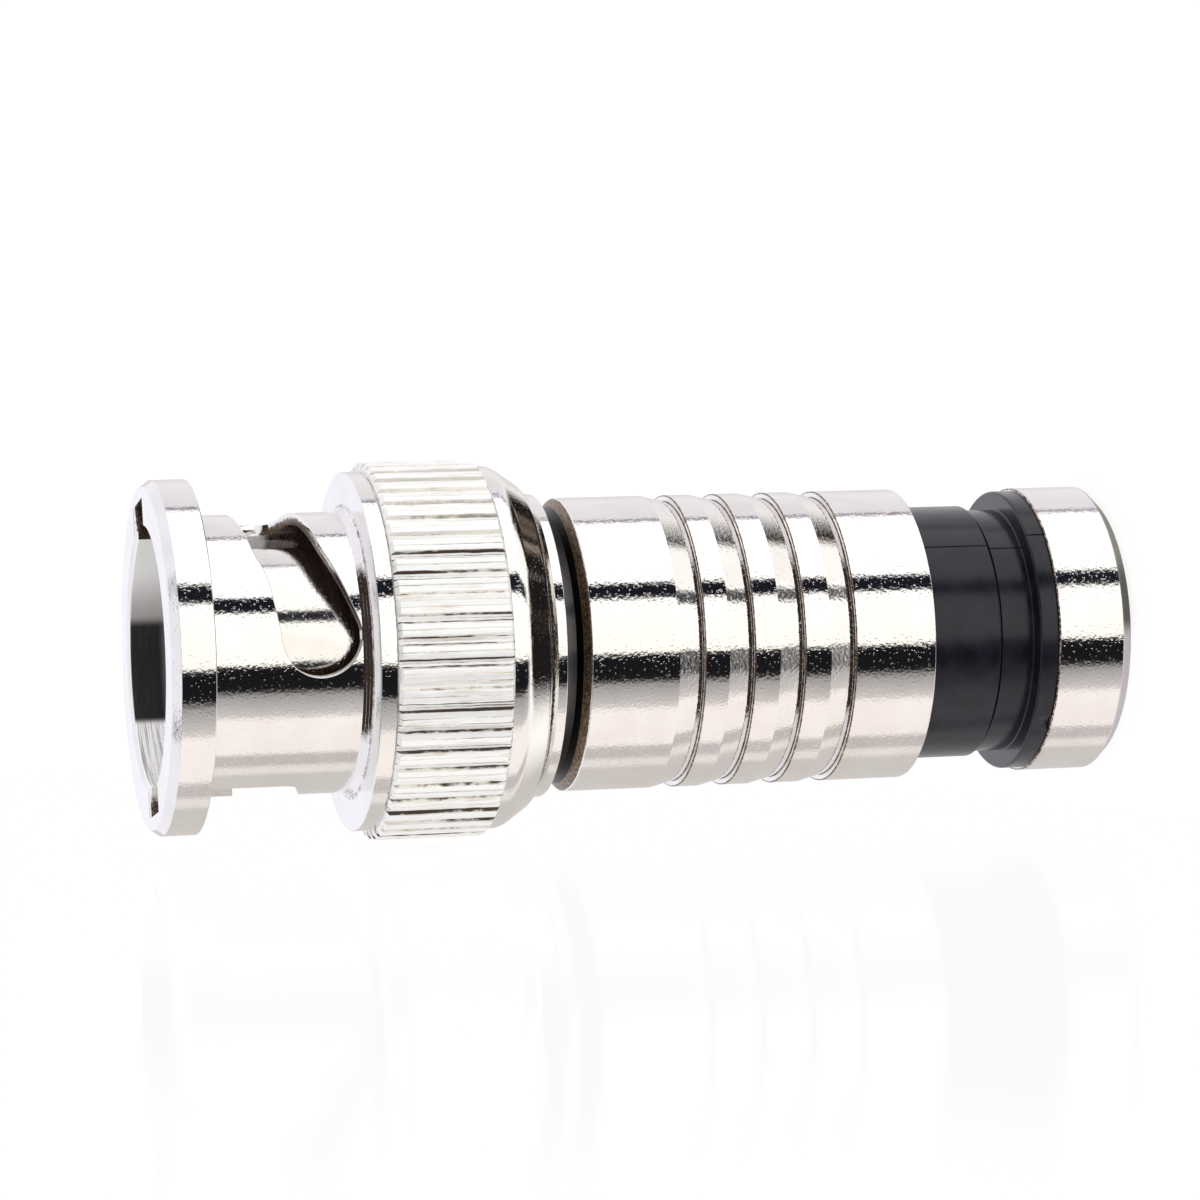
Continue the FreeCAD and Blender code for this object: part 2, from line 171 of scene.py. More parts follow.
def painted_mouth_light(start, parts, radius, mouth):
    """The wall behind the mouth, in painted light and shade: its tone, and a painted glow in place
    of the light that the wall beside it adds.

    It is painted light at both ends, with a dark painted reflection band between them that
    fades below the mouth."""
    x, y, z = parts
    across = start.math("DIVIDE", x, radius)
    lower = (-across).rise(0.48, 0.54)
    streaks = start.noise(start.vector(across * 2.0, 0.0, z * 14.0), 1.0, 3.0, 0.7)
    painted_lit_end = start.mix(streaks.rise(0.3, 0.6), (0.30, 0.27, 0.25, 1.0), (1.0, 1.0, 1.0, 1.0))
    painted_far_light = start.mix(across.rise(0.25, 0.75), (0.42, 0.40, 0.39, 1.0), (0.98, 0.97, 0.96, 1.0))
    painted_mouth_tone = start.mix(lower, painted_far_light, painted_lit_end)
    # The band is a painted reflection of the dark interior on the far wall.
    band = (0.28 - across).rise(-0.05, 0.05) * (across + 0.51).rise(-0.03, 0.03)
    band = band * (z - mouth).rise(0.2, 0.9) * y.rise(0.0, 1.0)
    dark = start.mix(streaks.rise(0.5, 0.8), (0.014, 0.012, 0.012, 1.0), (0.05, 0.045, 0.04, 1.0))
    return start.mix(band, painted_mouth_tone, dark), 0.10 + lower * 0.16


def nickel(name, light, shade, pit_depth, ring_depth, roughness,
           wear_colour=WORN_BRASS, bore=None, mouth=None):
    """Nickel plate with fine pits and turning rings, bright except where "wear" says otherwise.

    A bore is a radius and a height: inside and below them the wall is painted dark brown as shade,
    and where a mouth's height is given, the wall above is painted with light, a dark reflection band
    and a glow."""
    made, start = new_material(name)
    place = millimetres(start)
    x, y, z = start.parts(place)
    radius = start.math("SQRT", x * x + y * y)
    pits = start.noise(place, 8.0, 1.5, 0.5)
    specks = start.noise(place, 10.0, 0.0).rise(0.67, 0.77)
    cloud = start.noise(place, 0.7, 3.0)
    rings = start.noise(start.vector(radius * 9.0, 0.0, z * 9.0), 1.0, 3.0, 0.7)
    fray = start.noise(place, 4.0, 3.0, 0.65)
    wear = start.node("ShaderNodeAttribute", {"attribute_name": "wear"}, {}, "Fac")
    bare = (wear + (fray - 0.5) * 0.9 - 0.25).rise(0.12, 0.5)
    plate = start.mix(cloud.rise(0.35, 0.7), light, shade)
    stain = start.mix(pits.rise(0.42, 0.6), wear_colour, (0.11, 0.08, 0.055, 1.0))
    colour = start.mix(bare, plate, stain)
    # Matt faces are cream on the nut, and on the end cap grey with painted shade, darker on the +X side.
    matt = (-wear).rise(0.3, 0.7)
    painted_side_shade = start.mix(x.rise(1.8, 3.0), (0.15, 0.14, 0.13, 1.0), (0.38, 0.36, 0.32, 1.0))
    rear = start.mix(x.rise(-0.4, 0.4), (0.64, 0.60, 0.62, 1.0), painted_side_shade)
    colour = start.mix(matt, colour, start.mix(z.rise(10.0, 20.0), rear, (0.88, 0.82, 0.76, 1.0)))
    # Olive is dirt; black is painted shade in dark gaps between parts.
    olive = wear.rise(OLIVE_DIRT - 0.15, OLIVE_DIRT)
    black_gap_shade = wear.rise(BLACK_GAP_SHADE - 0.4, BLACK_GAP_SHADE - 0.1)
    colour = start.mix(olive, colour, (0.12, 0.105, 0.08, 1.0))
    colour = start.mix(black_gap_shade, colour, (0.006, 0.005, 0.005, 1.0))
    shine = 1.0
    dull = 0.0
    glow = NO_LIGHT
    if bore is not None:
        # Inside the bore and below its height: painted shade, a dark brown, on a less metallic wall.
        inner = (bore[0] - radius).rise(0.0, 0.03)
        deep = inner * (bore[1] - z).rise(0.0, 0.5)
        bore_shade = start.mix(rings.rise(0.4, 0.6), (0.07, 0.045, 0.04, 1.0), (0.20, 0.145, 0.125, 1.0))
        colour = start.mix(deep, colour, bore_shade)
        shine = 1.0 - deep * 0.7
    if mouth is not None:
        # Above the bore's height the wall takes painted light and shade and a painted glow, except where
        # wear is high.
        entry = inner * (z - bore[1]).rise(-0.4, 0.1)
        painted_mouth_mask = entry * (1.0 - wear.rise(0.9, 1.2))
        painted_mouth_tone, painted_glow = painted_mouth_light(start, (x, y, z), radius, mouth)
        colour = start.mix(painted_mouth_mask, colour, painted_mouth_tone)
        # The glow is painted light: the mouth's wall emits though it is no lamp.
        glow = start.mix(painted_mouth_mask * painted_glow, NO_LIGHT, painted_mouth_tone)
        shine = shine - entry * 0.9
        dull = entry * 0.35
    height = (pits + specks * 0.45) * pit_depth + rings * ring_depth
    relief = start.node("ShaderNodeBump", {}, {"Strength": 1.0, "Distance": MICRON, "Height": height})
    finish_material(start, {
        "Base Color": colour,
        "Metallic": shine - matt * 0.75,
        "Roughness": roughness + rings * 0.05 + bare * 0.3 + dull + matt * 0.35,
        "Emission Color": glow,
        "Emission Strength": 1.0,
        "Normal": relief,
    })
    return made


def rounded(outline):
    """Corners (radius, height, rounding, wear) made into points of a half section.

    A point is (place, normal before it, normal after it, wear)."""
    pieces = []
    count = len(outline)
    for index, (r, z, rounding, wear) in enumerate(outline):
        corner = Vector((r, z))
        before = Vector(outline[index - 1][:2])
        after = Vector(outline[(index + 1) % count][:2])
        come = (corner - before).normalized()
        leave = (after - corner).normalized()
        first = Vector((come.y, -come.x))
        last = Vector((leave.y, -leave.x))
        bend = math.atan2(come.x * leave.y - come.y * leave.x, come.dot(leave))
        if rounding == 0.0 or abs(bend) < 1e-4:
            pieces.append([(corner, first, last, wear)])
            continue
        side = 1.0 if bend > 0 else -1.0
        setback = rounding * math.tan(abs(bend) / 2)
        centre = corner - come * setback - first * rounding * side
        widest_step = WIDE_ARC_STEP if rounding > WIDE_ROUNDING else ARC_STEP
        steps = max(3, math.ceil(abs(bend) / widest_step))
        arc = []
        for step in range(steps + 1):
            turn = Matrix.Rotation(bend * step / steps, 2)
            normal = turn @ first
            arc.append((centre + normal * rounding * side, normal, normal, wear))
        pieces.append(arc)
    points = [point for arc in pieces for point in arc]
    return with_wear_ends(points)


def with_wear_ends(points):
    """The points, with one more near each end of a long straight run, where the wear stops.

    A run that is dirty, painted black as shade, bare or matt at both ends stays so all along."""
    full = []
    for index, start in enumerate(points):
        end = points[(index + 1) % len(points)]
        full.append(start)
        run = end[0] - start[0]
        marked = start[3] != 0.0 or end[3] != 0.0
        if marked and run.length > WEAR_WIDTH * 2.5 and min(abs(start[3]), abs(end[3])) < 1.0:
            along = run.normalized() * WEAR_WIDTH
            full.append((start[0] + along, start[2], start[2], 0.0))
            full.append((end[0] - along, end[1], end[1], 0.0))
    return full


def set_wear(mesh, values):
    """The wear of every point, kept on the mesh for its material to read."""
    layer = mesh.attributes.new("wear", "FLOAT", "POINT")
    layer.data.foreach_set("value", values)


def ring_mesh(name, outline, angles=None, reshape=None):
    """A closed ring, or a solid on the axis, turned from its half section, in millimetres."""
    if angles is None:
        angles = [math.tau * column / COLUMNS for column in range(COLUMNS)]
    points = rounded(outline)
    verts = []
    wear = []
    grid = []
    moved = set()
    for angle in angles:
        line = []
        for place, _, _, worn in points:
            r = place.x
            if reshape is not None:
                changed = reshape(angle, place.x, place.y)
                if abs(changed - r) > 1e-6:
                    moved.add(len(verts))
                    if changed - r > KEYWAY_DIRT_DEPTH and place.y < KEYWAY_DIRT_TOP:
                        worn = OLIVE_DIRT
                r = changed
            if r < 1e-6 and grid:
                line.append(grid[0][len(line)])
                continue
            line.append(len(verts))
            verts.append((r * math.cos(angle) * MM, r * math.sin(angle) * MM, place.y * MM))
            wear.append(worn)
        grid.append(line)
    faces = []
    normals = []
    for column, here in enumerate(grid):
        there = grid[(column + 1) % len(grid)]
        turn_here = angles[column]
        turn_there = angles[(column + 1) % len(grid)]
        for row in range(len(points)):
            after = (row + 1) % len(points)
            start, end = points[row], points[after]
            if (start[0] - end[0]).length < 1e-7 or max(start[0].x, end[0].x) < 1e-6:
                continue
            ring = [(here[row], turn_here, start[2]), (there[row], turn_there, start[2]),
                    (there[after], turn_there, end[1]), (here[after], turn_here, end[1])]
            corners = []
            for corner in ring:
                if corner[0] not in [kept[0] for kept in corners]:
                    corners.append(corner)
            faces.append([corner[0] for corner in corners])
            own = any(corner[0] in moved for corner in corners)
            for _, turn, normal in corners:
                if own:
                    normals.append((0.0, 0.0, 0.0))
                else:
                    normals.append((normal.x * math.cos(turn), normal.x * math.sin(turn), normal.y))
    mesh = bpy.data.meshes.new(name)
    mesh.from_pydata(verts, [], faces)
    mesh.update()
    set_wear(mesh, wear)
    mesh.polygons.foreach_set("use_smooth", [True] * len(faces))
    mesh.set_sharp_from_angle(angle=SHARP_ANGLE)
    mesh.normals_split_custom_set(normals)
    return mesh


def add_piece(name, mesh, finish, body, slot, *nodes):
    """The mesh as a piece of the model, which moves with a body and stands for CAD nodes."""
    mesh.name = name
    mesh.materials.clear()
    mesh.materials.append(finish)
    made = bpy.data.objects.new(name, mesh)
    scene.collection.objects.link(made)
    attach(made, body)
    if nodes:
        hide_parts(*nodes)
    return made


def keyway_turn(angle):
    """How far an angle is from the middle of the nearer keyway."""
    return (angle - KEYWAY_ANGLE + math.pi / 2) % math.pi - math.pi / 2


def keyway_wall(angle, radius, height):
    """The bore's radius, pushed out at every height to the keyway's flat bottom."""
    off = abs(keyway_turn(angle))
    if radius > MOUTH_LIMIT or off > math.atan2(KEYWAY_HALF_WIDTH, KEYWAY_RADIUS) + 1e-6:
        return radius
    return max(radius, KEYWAY_RADIUS / math.cos(off))


def keyway_columns():
    """Column angles all round, with extra ones on both edges of each keyway."""
    outer = math.atan2(KEYWAY_HALF_WIDTH, KEYWAY_RADIUS)
    inner = math.asin(KEYWAY_HALF_WIDTH / BORE_RADIUS)
    even = [math.tau * column / COLUMNS for column in range(COLUMNS)]
    kept = [angle for angle in even
            if not outer - COLUMN_MARGIN < abs(keyway_turn(angle)) < inner + COLUMN_MARGIN]
    for centre in (KEYWAY_ANGLE, KEYWAY_ANGLE + math.pi):
        kept += [centre + off for off in (-inner, -outer, outer, inner)]
    return sorted(angle % math.tau for angle in kept)


# The nut's bore is painted dark brown as shade, and its mouth is painted with light, a dark reflection
# band and a glow.
nut_plate = nickel("nut_nickel", (0.83, 0.81, 0.785, 1.0), (0.79, 0.765, 0.735, 1.0),
                   pit_depth=3.2, ring_depth=0.5, roughness=0.03, bore=(4.95, 32.9), mouth=35.6)
rim = ring_mesh("nut_rim", RIM_OUTLINE, keyway_columns(), keyway_wall)
add_piece("nut_rim", rim, nut_plate, "nut", "nickel_plate", "coupling_nut")


# Coupling nut, neck: the thin tube between rim and grip. Two bayonet slots are milled through its
# wall, each a helical ramp from the keyway down to the round detent that holds the lug.
NECK_RADIUS = 5.37
NECK_REAR = 30.27
NECK_FRONT = 36.07
SLOT_BEVEL = 0.03
SLOT_DIRT_TOP = 33.0
SLOT_FACING = math.radians(-90)
# The slot's edge on the unrolled neck: millimetres round the wall from -Y, and the height.
KEYWAY_NEAR_SIDE = [(8.115, NECK_FRONT), (8.115, 35.30)]
SLOT_EDGE = [
    (8.115, 34.50), (7.31, 34.46), (5.80, 34.27), (4.30, 34.07), (3.30, 33.77), (1.75, 33.52),
    (1.05, 33.42), (0.30, 33.32), (-0.35, 32.98), (-0.73, 32.42), (-0.83, 31.85), (-0.66, 31.22),
    (-0.25, 30.72), (0.35, 30.42), (1.00, 30.39), (1.75, 30.62), (2.63, 30.92), (4.47, 31.50),
    (6.00, 31.76), (7.62, 31.93), (9.30, 32.14), (10.30, 32.42), (10.53, 32.75),
]
KEYWAY_FAR_SIDE = [(10.535, 33.40), (10.535, 35.00), (10.535, NECK_FRONT)]
SLOT_STEPS = 6
BEVEL_STEPS = 3
EDGE_CLEARANCE = 0.09
NECK_ROWS = (31.2, 32.3, 33.4, 34.5, 35.3)
NECK_COLUMNS = 76
NECK_START = -3.1
HALF_TURN = math.pi * NECK_RADIUS
TOLERANCE = 0.01


def flowing(points, steps):
    """A smooth line through the points."""
    ends = [points[0] * 2 - points[1]] + points + [points[-1] * 2 - points[-2]]
    line = []
    for index in range(1, len(ends) - 2):
        a, b, c, d = ends[index - 1:index + 3]
        for step in range(steps):
            t = step / steps
            line.append(((b * 2) + (c - a) * t + (a * 2 - b * 5 + c * 4 - d) * t * t
                         + (b * 3 - a - c * 3 + d) * t ** 3) / 2)
    line.append(points[-1])
    return line


def slot_line():
    """The slot's edge on the unrolled neck, from the rim on one side of the keyway to the other."""
    near = [Vector(point) for point in KEYWAY_NEAR_SIDE]
    edge = [Vector(point) for point in SLOT_EDGE]
    far = [Vector(point) for point in KEYWAY_FAR_SIDE]
    return near + flowing(edge, SLOT_STEPS) + far


def offset_line(line, distance):
    """The line moved sideways into the wall."""
    moved = []
    for index, point in enumerate(line):
        before = line[max(index - 1, 0)]
        after = line[min(index + 1, len(line) - 1)]
        along = (after - before).normalized()
        moved.append(point + Vector((-along.y, along.x)) * -distance)
    moved[0].y = moved[-1].y = NECK_FRONT
    return moved


def in_loop(point, loop):
    """Whether a point of the unrolled neck lies in a closed loop."""
    hit = False
    for index, a in enumerate(loop):
        b = loop[index - 1]
        if (a.y > point.y) != (b.y > point.y):
            if point.x < (b.x - a.x) * (point.y - a.y) / (b.y - a.y) + a.x:
                hit = not hit
    return hit


def neck_wall(edge):
    """The unrolled half of the wall beside the slot's edge: its points and its faces."""
    sheet = []
    for column in range(NECK_COLUMNS + 1):
        arc = NECK_START + HALF_TURN * column / NECK_COLUMNS
        for height in (NECK_REAR,) + NECK_ROWS + (NECK_FRONT,):
            point = Vector((arc, height))
            border = column in (0, NECK_COLUMNS) or height in (NECK_REAR, NECK_FRONT)
            if border or min((point - other).length for other in edge) > EDGE_CLEARANCE:
                sheet.append(point)
    corners = [Vector((NECK_START, NECK_REAR)), Vector((NECK_START + HALF_TURN, NECK_REAR)),
               Vector((NECK_START + HALF_TURN, NECK_FRONT)), Vector((NECK_START, NECK_FRONT))]
    first = len(sheet)
    box = first + len(edge)
    ties = [(first + index, first + index + 1) for index in range(len(edge) - 1)]
    ties += [(box + index, box + (index + 1) % 4) for index in range(4)]
    flat, _, faces, _, _, _ = delaunay_2d_cdt(sheet + edge + corners, ties, [], 0, 1e-6)
    wall = []
    for face in faces:
        centre = sum((flat[index] for index in face), Vector((0.0, 0.0))) / len(face)
        if not in_loop(centre, edge):
            wall.append(list(face))
    return flat, wall


def neck_mesh():
    """Half of the slotted tube, rolled up from its flat wall, and its twin opposite."""
    line = slot_line()
    flat, wall = neck_wall(offset_line(line, SLOT_BEVEL))
    tube = bmesh.new()

    def put(point, radius):
        turn = point.x / NECK_RADIUS + SLOT_FACING
        return tube.verts.new((radius * math.cos(turn) * MM, radius * math.sin(turn) * MM,
                               point.y * MM))

    outer = [put(point, NECK_RADIUS) for point in flat]
    inner = [put(point, BORE_RADIUS) for point in flat]
    uses = {}
    for face in wall:
        tube.faces.new([outer[index] for index in face])
        tube.faces.new([inner[index] for index in reversed(face)])
        for index, a in enumerate(face):
            b = face[(index + 1) % len(face)]
            uses.setdefault((min(a, b), max(a, b)), []).append((a, b))
    for sides in uses.values():
        if len(sides) > 1:
            continue
        a, b = sides[0]
        for level in (NECK_REAR, NECK_FRONT):
            if abs(flat[a].y - level) < 1e-5 and abs(flat[b].y - level) < 1e-5:
                tube.faces.new([outer[b], outer[a], inner[a], inner[b]])
    bends = [math.pi / 2 * step / BEVEL_STEPS for step in range(BEVEL_STEPS + 1)]
    rows = [(SLOT_BEVEL * (1 - math.sin(bend)), NECK_RADIUS - SLOT_BEVEL * (1 - math.cos(bend)))
            for bend in bends]
    rows += [(SLOT_BEVEL * (1 - math.sin(bend)), BORE_RADIUS + SLOT_BEVEL * (1 - math.cos(bend)))
             for bend in reversed(bends)]
    strips = [[put(point, radius) for point in offset_line(line, out)] for out, radius in rows]
    for here, there in zip(strips, strips[1:]):
        for index in range(len(line) - 1):
            tube.faces.new([here[index], here[index + 1], there[index + 1], there[index]])
    half = tube.verts[:] + tube.edges[:] + tube.faces[:]
    twin = bmesh.ops.duplicate(tube, geom=half)["geom"]
    twin_verts = [item for item in twin if isinstance(item, bmesh.types.BMVert)]
    bmesh.ops.rotate(tube, verts=twin_verts, cent=(0, 0, 0), matrix=Matrix.Rotation(math.pi, 3, "Z"))
    bmesh.ops.remove_doubles(tube, verts=tube.verts, dist=2e-6)
    loose = [vert for vert in tube.verts if not vert.link_faces]
    bmesh.ops.delete(tube, geom=loose, context="VERTS")
    bmesh.ops.recalc_face_normals(tube, faces=tube.faces)
    mesh = bpy.data.meshes.new("nut_neck")
    tube.to_mesh(mesh)
    tube.free()
    return mesh


def radial_normals(mesh, radii):
    """Exact normals on the walls of these radii, so that they reflect as true cylinders."""
    mesh.polygons.foreach_set("use_smooth", [True] * len(mesh.polygons))
    mesh.set_sharp_from_angle(angle=SHARP_ANGLE)
    normals = []
    for face in mesh.polygons:
        places = [mesh.vertices[index].co for index in face.vertices]
        reach = [place.xy.length / MM for place in places]
        for place in places:
            exact = any(all(abs(r - radius) < 1e-3 for r in reach) for radius in radii)
            if exact and abs(face.normal.z) < 0.5:
                out = Vector((place.x, place.y, 0.0)).normalized()
                normals.append(out if out.dot(face.normal) > 0 else -out)
            else:
                normals.append((0.0, 0.0, 0.0))
    mesh.normals_split_custom_set(normals)


def neck_wear(place):
    """Wear of a point: dirty slot walls low down, matt ones above, with the outer edge worn on +X."""
    reach = place.xy.length / MM
    if not BORE_RADIUS + TOLERANCE < reach < NECK_RADIUS - TOLERANCE:
        return 0.0
    outer_edge = reach > NECK_RADIUS - SLOT_BEVEL - TOLERANCE
    if place.z / MM < SLOT_DIRT_TOP:
        return 0.1 if outer_edge else 1.3
    return 0.6 if outer_edge and place.x > 0.0 else MATT


neck = neck_mesh()
radial_normals(neck, (NECK_RADIUS, BORE_RADIUS))
set_wear(neck, [neck_wear(vert.co) for vert in neck.vertices])
add_piece("nut_neck", neck, nut_plate, "nut", "nickel_plate", "coupling_nut")


# Coupling nut, rear: collar, seat of the knurl, plain band, domed end and lip, with the bore that
# turns on the front body. Turned in one piece with the neck, whose root shows fine tool marks.
REAR_OUTLINE = [
    (3.90, 22.65, 0.05, 0.0),
    (5.85, 22.65, 0.06, 0.3),
    (5.85, 23.03, 0.0, 0.0),
    (6.30, 23.42, 0.80, 0.0),
    (7.00, 24.42, 0.90, 0.0),
    (7.00, 25.00, 0.04, 0.35),
    (6.66, 25.00, 0.0, 0.8),
    (6.66, 29.35, 0.0, 0.8),
    (6.87, 29.35, 0.03, 0.5),
    (6.87, 30.02, 0.05, 0.3),
    (5.66, 30.02, 0.03, 0.5),
    (5.56, 30.05, 0.0, 0.5),
    (5.51, 30.14, 0.0, 0.0),
    (5.49, 30.145, 0.0, 0.0),
    (5.44, 30.25, 0.0, 0.0),
    (5.42, 30.255, 0.0, 0.0),
    (5.36, 30.38, 0.0, 0.0),
    (4.90, 30.38, 0.0, 0.0),
    (4.90, 26.10, 0.10, 0.0),
    (3.90, 26.10, 0.05, 0.0),
]

rear = ring_mesh("nut_rear", REAR_OUTLINE)
add_piece("nut_rear", rear, nut_plate, "nut", "nickel_plate", "coupling_nut")


# Coupling nut, grip: the straight knurl, 54 flat ribs rolled into the brass before plating. The
# plating is thin in the grooves, and dirt, bare metal and painted crease shade draw a broken line
# along each of them.
GRIP_RADIUS = 7.25
RIB_COUNT = 54
RIB_TURN = math.tau / RIB_COUNT
# Half a rib from the groove's bottom to its top: degrees round the axis, radius and wear, which
# also sets the painted crease shade.
RIB_SECTION = [
    (0.0, 7.07, 0.95), (0.25, 7.08, 0.2), (0.62, 7.08, 0.25), (0.88, 7.09, 1.25), (1.28, 7.20, 1.05),
    (1.52, 7.235, 0.25), (2.0, 7.248, 0.0), (3.05, GRIP_RADIUS, 0.1), (3.3333, 7.225, 1.0),
]
RIB_REAR = 25.0
RIB_FRONT = 29.35
RIB_CHAMFER = 0.12
RIB_END_RADIUS = 7.03
RIB_FOOT = 6.62
RIB_LENGTHS = 16
RIB_SHARP_ANGLE = math.radians(28)


def rib_mesh():
    """One rib from groove bottom to groove bottom, with its ends and its inner side."""
    pitch = math.degrees(RIB_TURN)
    section = RIB_SECTION + [(pitch - turn, r, worn) for turn, r, worn in reversed(RIB_SECTION[:-1])]
    heights = [RIB_REAR, RIB_REAR + RIB_CHAMFER * 0.5, RIB_REAR + RIB_CHAMFER]
    run = RIB_FRONT - RIB_REAR - 2 * RIB_CHAMFER
    heights += [RIB_REAR + RIB_CHAMFER + run * step / RIB_LENGTHS for step in range(1, RIB_LENGTHS + 1)]
    heights += [RIB_FRONT - RIB_CHAMFER * 0.5, RIB_FRONT]
    verts = []
    wear = []
    grid = []
    for height in heights:
        line = []
        reach = min(height - RIB_REAR, RIB_FRONT - height, RIB_CHAMFER)
        cap = RIB_END_RADIUS + (GRIP_RADIUS - RIB_END_RADIUS) * reach / RIB_CHAMFER
        rows = [(turn, min(r, cap), worn) for turn, r, worn in section]
        rows += [(pitch, RIB_FOOT, 0.0), (0.0, RIB_FOOT, 0.0)]
        for turn, r, worn in rows:
            angle = math.radians(turn)
            line.append(len(verts))
            verts.append((r * math.cos(angle) * MM, r * math.sin(angle) * MM, height * MM))
            wear.append(worn)
        grid.append(line)
    faces = []
    width = len(section)
    for here, there in zip(grid, grid[1:]):
        for index in range(width - 1):
            faces.append([here[index], here[index + 1], there[index + 1], there[index]])
        faces.append([here[width], here[width + 1], there[width + 1], there[width]])
    faces.append(list(reversed(grid[0])))
    faces.append(grid[-1])
    mesh = bpy.data.meshes.new("rib")
    mesh.from_pydata(verts, [], faces)
    set_wear(mesh, wear)
    mesh.polygons.foreach_set("use_smooth", [True] * len(faces))
    return mesh


def tree_input(tree, name, kind, default=None):
    made = tree.interface.new_socket(name, in_out="INPUT", socket_type=kind)
    if default is not None:
        made.default_value = default
    return made


def knurl_tree():
    """The rib repeated round the axis, its edges worn by a noise, closed up and given its finish."""
    tree = bpy.data.node_groups.new("knurl", "GeometryNodeTree")
    tree_input(tree, "Rib", "NodeSocketGeometry")
    tree_input(tree, "Rib count", "NodeSocketInt", RIB_COUNT)
    tree_input(tree, "Wear depth", "NodeSocketFloat", 0.0)
    tree_input(tree, "Wear scale", "NodeSocketFloat", 1.0)
    tree_input(tree, "Seed", "NodeSocketFloat", 0.0)
    tree_input(tree, "Finish", "NodeSocketMaterial")
    tree.interface.new_socket("Knurl", in_out="OUTPUT", socket_type="NodeSocketGeometry")
    start = Wire(tree)
    ports = start.node("NodeGroupInput", {}, {})
    given = {socket.name: Wire(tree, socket) for socket in ports.socket.node.outputs}
    count = given["Rib count"]
    spots = start.node("GeometryNodePoints", {}, {"Count": count})
    index = start.node("GeometryNodeInputIndex", {}, {})
    step = start.math("DIVIDE", math.tau, count)
    ribs = start.node("GeometryNodeInstanceOnPoints", {}, {
        "Points": spots, "Instance": given["Rib"], "Rotation": start.vector(0.0, 0.0, index * step)})
    loose = start.node("GeometryNodeRealizeInstances", {}, {0: ribs})
    place = start.node("GeometryNodeInputPosition", {}, {})
    jitter = start.node("ShaderNodeTexNoise", {"noise_dimensions": "4D"}, {
        "Vector": place, "W": given["Seed"], "Scale": given["Wear scale"], "Detail": 3.0}, "Color")
    swing = start.node("ShaderNodeVectorMath", {"operation": "SUBTRACT"}, {0: jitter, 1: (0.5, 0.5, 0.5)})
    push = start.node("ShaderNodeVectorMath", {"operation": "SCALE"},
                      {0: swing, "Scale": given["Wear depth"]})
    worn = start.node("GeometryNodeSetPosition", {}, {"Geometry": loose, "Offset": push})
    closed = start.node("GeometryNodeMergeByDistance", {}, {"Geometry": worn, "Distance": 2e-6})
    whole = start.node("GeometryNodeRealizeInstances", {}, {0: closed})
    finished = start.node("GeometryNodeSetMaterial", {}, {"Geometry": whole, "Material": given["Finish"]})
    start.node("NodeGroupOutput", {}, {"Knurl": finished})
    return tree


def grown(name, base, tree, values):
    """The plain mesh that a Geometry Nodes tree makes from a base mesh."""
    carrier = bpy.data.objects.new(name, base)
    scene.collection.objects.link(carrier)
    growth = carrier.modifiers.new(name, "NODES")
    growth.node_group = tree
    for socket in tree.interface.items_tree:
        if socket.in_out == "INPUT" and socket.name in values:
            growth[socket.identifier] = values[socket.name]
    shown = carrier.evaluated_get(bpy.context.evaluated_depsgraph_get())
    mesh = bpy.data.meshes.new_from_object(shown)
    carrier.modifiers.clear()
    bpy.data.objects.remove(carrier)
    return mesh


def knurl_finish():
    """Nickel over rolled ribs: cream tops, and broken groove lines of dirt and painted shade, fewest on
    +X.
    """
    made, start = new_material("knurl_nickel")
    place = millimetres(start)
    x, y, z = start.parts(place)
    along = start.noise(start.vector(x * 5.0, y * 5.0, z * 2.2), 1.0, 3.0, 0.6)
    each = start.noise(start.vector(x * 1.1, y * 1.1, z * 0.12), 1.0, 1.0)
    cloud = start.noise(place, 1.3, 3.0)
    wear = start.node("ShaderNodeAttribute", {"attribute_name": "wear"}, {}, "Fac")
    # Dark lines along the grooves: dirt and painted crease shade, fainter toward +X.
    crease_shade_and_dirt = (wear * (0.25 + along * 0.9) + (each - 0.5) * 1.7).rise(0.58, 0.93)
    crease_shade_and_dirt = crease_shade_and_dirt * (1.0 - x.rise(0.50 * GRIP_RADIUS, 0.85 * GRIP_RADIUS) * 0.75)
    tint = (wear + (cloud - 0.5)).rise(0.3, 1.1)
    scratch = start.noise(start.vector(x * 9.0, y * 9.0, z * 0.5), 1.0, 2.0, 0.6)
    top = start.mix(tint, (1.0, 1.0, 0.98, 1.0), (0.98, 0.94, 0.88, 1.0))
    top = start.mix(scratch.rise(0.58, 0.68), top, (0.88, 0.80, 0.70, 1.0))
    colour = start.mix(crease_shade_and_dirt, top, (0.10, 0.07, 0.05, 1.0))
    height = start.noise(place, 8.0, 2.0, 0.6) + scratch * 0.8
    relief = start.node("ShaderNodeBump", {},
                        {"Strength": 1.0, "Distance": 10 * MICRON, "Height": height})
    finish_material(start, {
        "Base Color": colour,
        "Metallic": 0.45,
        "Roughness": 0.42 + tint * 0.1 + crease_shade_and_dirt * 0.2,
        "Normal": relief,
    })
    return made


grip_plate = knurl_finish()
grip = grown("nut_knurl", rib_mesh(), knurl_tree(), {
    "Rib count": RIB_COUNT,
    "Wear depth": 0.075 * MM,
    "Wear scale": 1900.0,
    "Seed": 7.0,
    "Finish": grip_plate,
})
grip.set_sharp_from_angle(angle=RIB_SHARP_ANGLE)
add_piece("nut_knurl", grip, grip_plate, "nut", "nickel_plate", "coupling_nut")


